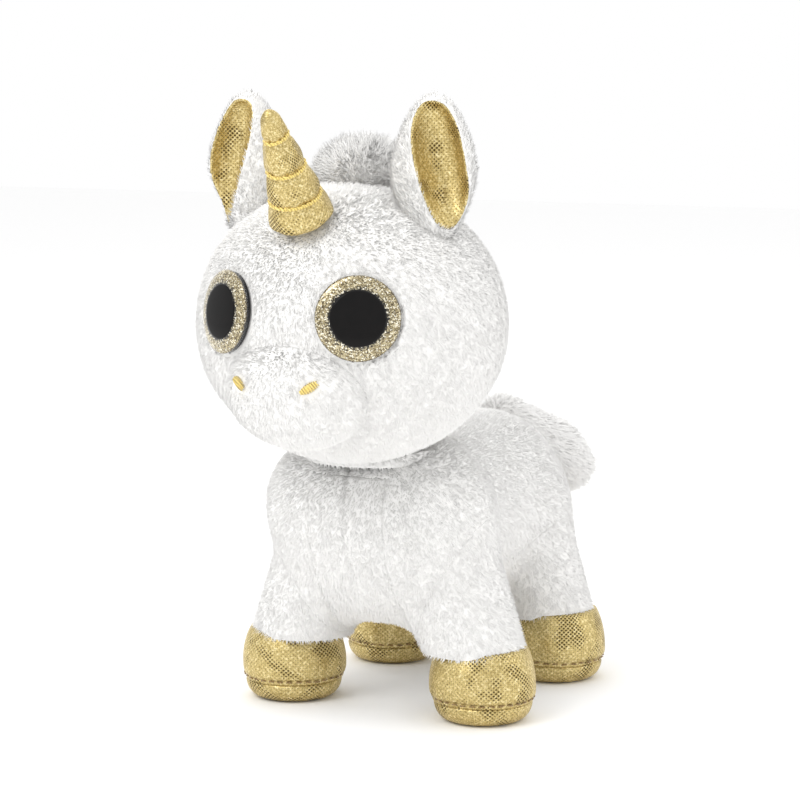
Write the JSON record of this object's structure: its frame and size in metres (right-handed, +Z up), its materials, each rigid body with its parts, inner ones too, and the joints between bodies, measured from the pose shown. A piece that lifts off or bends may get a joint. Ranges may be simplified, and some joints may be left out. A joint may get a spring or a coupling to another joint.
{
  "type": "plush unicorn",
  "caption": "Small sewn plush unicorn standing on stuffed legs, with a foil horn, foil hooves and ear linings, glitter eyes, and a fluffy mane and tail.",
  "frame": {"origin": "middle of the base of the whole toy's box, on the surface it stands on", "axes": "+Z up, the animal faces -Y, +X is the animal's left side"},
  "size_m": [0.0786, 0.1686, 0.1505],
  "materials": {
    "white_plush": "short pile",
    "long_pile_plush": "long pile",
    "polyester_fill": "loose fibre",
    "gold_foil_fabric": "metallic foil print",
    "gold_thread": "shiny thread",
    "brown_gold_thread": "satin stitch",
    "clear_lens": "polished",
    "gold_glitter": "glitter",
    "black_gloss": "gloss",
    "black_plastic": "moulded",
    "white_plastic": "moulded",
    "tag_satin": "satin ribbon"
  },
  "bodies": {
    "torso": {"torso_side_left": "white_plush", "torso_side_right": "white_plush", "chest_belly_gusset": "white_plush", "torso_stuffing": "polyester_fill", "care_label": "tag_satin"},
    "neck": {"neck_seam_band": "white_plush"},
    "head": {"face_panel": "white_plush", "head_back_panel": "white_plush", "head_stuffing": "polyester_fill", "muzzle_cover": "white_plush", "muzzle_stuffing": "polyester_fill", "nostril_left": "brown_gold_thread", "nostril_right": "brown_gold_thread", "eye_lens_left": "clear_lens", "eye_iris_left": "gold_glitter", "eye_pupil_left": "black_gloss", "eye_shank_left": "black_plastic", "eye_washer_left": "white_plastic", "eye_lens_right": "clear_lens", "eye_iris_right": "gold_glitter", "eye_pupil_right": "black_gloss", "eye_shank_right": "black_plastic", "eye_washer_right": "white_plastic", "mane_crown_tuft": "long_pile_plush", "mane_neck_strip": "long_pile_plush"},
    "horn": {"horn_cover": "gold_foil_fabric", "horn_stuffing": "polyester_fill", "horn_thread_rings": "gold_thread"},
    "ear_left": {"ear_back_left": "white_plush", "ear_lining_left": "gold_foil_fabric"},
    "ear_right": {"ear_back_right": "white_plush", "ear_lining_right": "gold_foil_fabric"},
    "tail": {"tail_cover": "long_pile_plush", "tail_stuffing": "polyester_fill"},
    "front_left_leg": {"front_left_leg_cover": "white_plush", "front_left_hoof_upper": "gold_foil_fabric", "front_left_hoof_sole": "gold_foil_fabric", "front_left_hoof_stitching": "gold_thread", "front_left_leg_stuffing": "polyester_fill"},
    "front_right_leg": {"front_right_leg_cover": "white_plush", "front_right_hoof_upper": "gold_foil_fabric", "front_right_hoof_sole": "gold_foil_fabric", "front_right_hoof_stitching": "gold_thread", "front_right_leg_stuffing": "polyester_fill"},
    "rear_left_leg": {"rear_left_leg_cover": "white_plush", "rear_left_hoof_upper": "gold_foil_fabric", "rear_left_hoof_sole": "gold_foil_fabric", "rear_left_hoof_stitching": "gold_thread", "rear_left_leg_stuffing": "polyester_fill"},
    "rear_right_leg": {"rear_right_leg_cover": "white_plush", "rear_right_hoof_upper": "gold_foil_fabric", "rear_right_hoof_sole": "gold_foil_fabric", "rear_right_hoof_stitching": "gold_thread", "rear_right_leg_stuffing": "polyester_fill"}
  },
  "joints": [
    {"name": "head_turn", "type": "hinge", "parent": "torso", "child": "neck", "pos_m": [0, -0.0292, 0.05], "axis": [0, 0, 1], "range_deg": [-12, 12], "stiffness_Nm_per_rad": 0.35},
    {"name": "head_nod", "type": "hinge", "parent": "neck", "child": "head", "pos_m": [0, -0.0292, 0.05], "axis": [1, 0, 0], "range_deg": [-4, 6], "stiffness_Nm_per_rad": 0.45},
    {"name": "horn_tilt", "type": "hinge", "parent": "head", "child": "horn", "pos_m": [0, -0.06695, 0.1215], "axis": [1, 0, 0], "range_deg": [-8, 8], "stiffness_Nm_per_rad": 0.03},
    {"name": "ear_left_fold", "type": "hinge", "parent": "head", "child": "ear_left", "pos_m": [0.025, -0.0502, 0.1215], "axis": [0.7934, 0, -0.6088], "range_deg": [-12, 12], "stiffness_Nm_per_rad": 0.02},
    {"name": "ear_right_fold", "type": "hinge", "parent": "head", "child": "ear_right", "pos_m": [-0.025, -0.0502, 0.1215], "axis": [0.7934, 0, 0.6088], "range_deg": [-12, 12], "stiffness_Nm_per_rad": 0.02},
    {"name": "tail_lift", "type": "hinge", "parent": "torso", "child": "tail", "pos_m": [0, 0.0422, 0.062], "axis": [1, 0, 0], "range_deg": [-8, 25], "stiffness_Nm_per_rad": 0.05},
    {"name": "front_left_leg_swing", "type": "hinge", "parent": "torso", "child": "front_left_leg", "pos_m": [0.0215, -0.0264, 0.03], "axis": [1, 0, 0], "range_deg": [-12, 12], "stiffness_Nm_per_rad": 0.25},
    {"name": "front_right_leg_swing", "type": "hinge", "parent": "torso", "child": "front_right_leg", "pos_m": [-0.0215, -0.0264, 0.03], "axis": [1, 0, 0], "range_deg": [-12, 12], "stiffness_Nm_per_rad": 0.25},
    {"name": "rear_left_leg_swing", "type": "hinge", "parent": "torso", "child": "rear_left_leg", "pos_m": [0.0188, 0.022, 0.03], "axis": [1, 0, 0], "range_deg": [-12, 12], "stiffness_Nm_per_rad": 0.25},
    {"name": "rear_right_leg_swing", "type": "hinge", "parent": "torso", "child": "rear_right_leg", "pos_m": [-0.0188, 0.022, 0.03], "axis": [1, 0, 0], "range_deg": [-12, 12], "stiffness_Nm_per_rad": 0.25}
  ]
}
